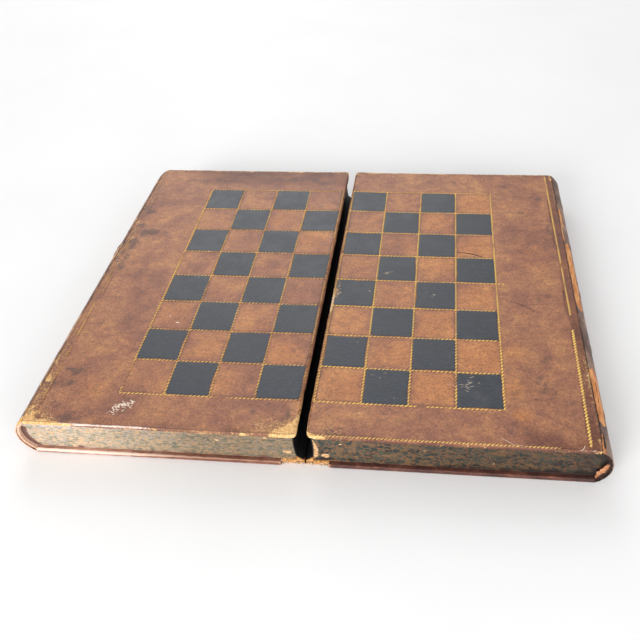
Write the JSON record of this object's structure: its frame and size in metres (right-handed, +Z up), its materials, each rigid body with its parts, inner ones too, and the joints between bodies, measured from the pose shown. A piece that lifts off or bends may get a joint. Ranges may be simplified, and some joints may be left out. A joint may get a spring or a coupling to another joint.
{
  "type": "folding games board box",
  "caption": "Folding games board in the form of two book volumes, chequers outside and a points table in the trays inside, joined by a leather hinge.",
  "frame": {"origin": "middle of the fold, on the surface the open board lies on", "axes": "+X from the left volume to the right one, +Y from front to back, +Z up out of the chequered side"},
  "size_m": [0.4802, 0.381, 0.0402],
  "materials": {
    "calf_leather": "worn satin",
    "millboard": "matt",
    "black_leather": "worn satin",
    "case_wood": "matt",
    "marbled_paper": "matt",
    "spine_leather": "worn satin",
    "tan_liner": "matt",
    "rim_leather": "satin",
    "hinge_leather": "matt",
    "tray_leather": "matt",
    "dark_points": "satin",
    "light_points": "satin"
  },
  "bodies": {
    "left_half": {"cover_leather_left": "calf_leather", "cover_board_left": "millboard", "black_squares_left": "black_leather", "tray_panel_left": "case_wood", "front_wall_left": "case_wood", "back_wall_left": "case_wood", "fore_edge_wall_left": "case_wood", "spine_block_left": "case_wood", "front_page_edge_left": "marbled_paper", "back_page_edge_left": "marbled_paper", "fore_edge_leather_left": "black_leather", "spine_leather_left": "spine_leather", "spine_liner_left": "tan_liner", "spine_bands_left": "spine_leather", "rim_front_left": "rim_leather", "rim_back_left": "rim_leather", "rim_spine_left": "rim_leather", "hinge_rail_left": "tan_liner", "hinge_strip_left": "hinge_leather", "tray_lining_left": "tray_leather", "dark_points_left": "dark_points", "light_points_left": "light_points"},
    "right_half": {"cover_leather_right": "calf_leather", "cover_board_right": "millboard", "black_squares_right": "black_leather", "tray_panel_right": "case_wood", "front_wall_right": "case_wood", "back_wall_right": "case_wood", "fore_edge_wall_right": "case_wood", "spine_block_right": "case_wood", "front_page_edge_right": "marbled_paper", "back_page_edge_right": "marbled_paper", "fore_edge_leather_right": "black_leather", "spine_leather_right": "spine_leather", "spine_liner_right": "tan_liner", "spine_bands_right": "spine_leather", "rim_front_right": "rim_leather", "rim_back_right": "rim_leather", "rim_spine_right": "rim_leather", "hinge_rail_right": "tan_liner", "hinge_strip_right": "hinge_leather", "tray_lining_right": "tray_leather", "dark_points_right": "dark_points", "light_points_right": "light_points"}
  },
  "joints": [
    {"name": "fold", "type": "hinge", "parent": "left_half", "child": "right_half", "pos_m": [0, 0, -0.00015], "axis": [0, 1, 0], "range_deg": [-9, 180]}
  ]
}
